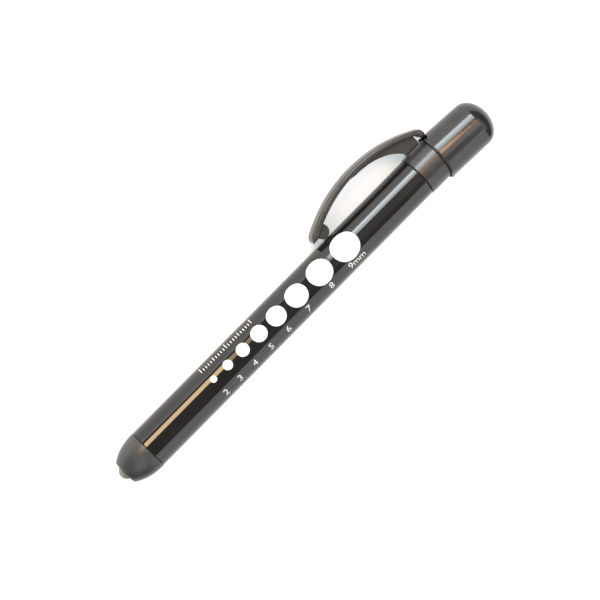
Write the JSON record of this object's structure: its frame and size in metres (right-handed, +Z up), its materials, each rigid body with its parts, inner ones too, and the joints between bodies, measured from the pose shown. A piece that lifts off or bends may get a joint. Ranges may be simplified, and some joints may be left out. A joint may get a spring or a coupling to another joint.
{
  "type": "pupil gauge penlight",
  "caption": "Pen-shaped LED diagnostic light with a pupil gauge on its barrel, an arched pocket clip and a push cap.",
  "frame": {"origin": "middle of the base of the bounding box, on the ground under the pen", "axes": "+X along the pen from its lamp to its push cap, +Z up, +Y to the side that the pocket clip is on"},
  "size_m": [0.1498, 0.0242, 0.015],
  "materials": {
    "nose_satin_black": "satin black",
    "seal_rubber": "matte",
    "led_clear_epoxy": "clear moulded epoxy",
    "lead_tinned_steel": "tinned",
    "holder_white_plastic": "moulded white",
    "contact_brass": "turned and stamped",
    "barrel_gloss_black": "gloss black anodised tube with a printed gauge",
    "cell_jacket": "plain grey cell jacket",
    "cell_nickel": "nickel plated",
    "cell_washer_plastic": "moulded red",
    "spring_steel": "nickel plated wire",
    "band_satin_black": "satin black",
    "clip_satin_black": "satin moulded black",
    "cap_gloss_black": "semi-gloss black"
  },
  "bodies": {
    "pen": {"barrel": "barrel_gloss_black", "battery_front_can": "cell_jacket", "battery_front_terminal": "cell_nickel", "battery_front_washer": "cell_washer_plastic", "battery_rear_can": "cell_jacket", "battery_rear_terminal": "cell_nickel", "battery_rear_washer": "cell_washer_plastic", "tail_spring": "spring_steel", "spring_cup": "contact_brass", "contact_carrier": "holder_white_plastic", "clip_band": "band_satin_black", "earth_washer": "contact_brass", "return_spring": "spring_steel"},
    "clip": {"pocket_clip": "clip_satin_black"},
    "cap": {"push_cap": "cap_gloss_black", "plunger_rod": "contact_brass", "contact_disc": "contact_brass", "stop_sleeve": "holder_white_plastic"},
    "lamp": {"led_lens": "led_clear_epoxy", "led_anode_lead": "lead_tinned_steel", "led_cathode_lead": "lead_tinned_steel", "led_holder": "holder_white_plastic", "ground_ring": "contact_brass", "front_contact": "contact_brass"},
    "nose": {"nose_cone": "nose_satin_black", "thread_sleeve": "contact_brass", "nose_o_ring": "seal_rubber"}
  },
  "joints": [
    {"name": "cap_press", "type": "slide", "parent": "pen", "child": "cap", "axis": [-1, 0, 0], "range_m": [0, 0.0015], "stiffness_N_per_m": 2500, "springref_m": -0.0008, "deforming": ["return_spring"]},
    {"name": "clip_flex", "type": "hinge", "parent": "pen", "child": "clip", "pos_m": [0.05414, 0.00268, 0.00539], "axis": [0, -0.2907, -0.9568], "range_deg": [0, 5], "stiffness_Nm_per_rad": 1.5, "springref_deg": -1.15},
    {"name": "lamp_slide", "type": "slide", "parent": "pen", "child": "lamp", "axis": [-1, 0, 0], "range_m": [0, 0.005]},
    {"name": "nose_turn", "type": "hinge", "parent": "lamp", "child": "nose", "pos_m": [-0.07316, -0.00412, 0.00745], "axis": [-1, 0, 0], "range_deg": [0, 1800]}
  ],
  "couplings": [
    {"joint": "lamp_slide", "follows": "nose_turn", "m_per_rad": 0.00015915}
  ]
}
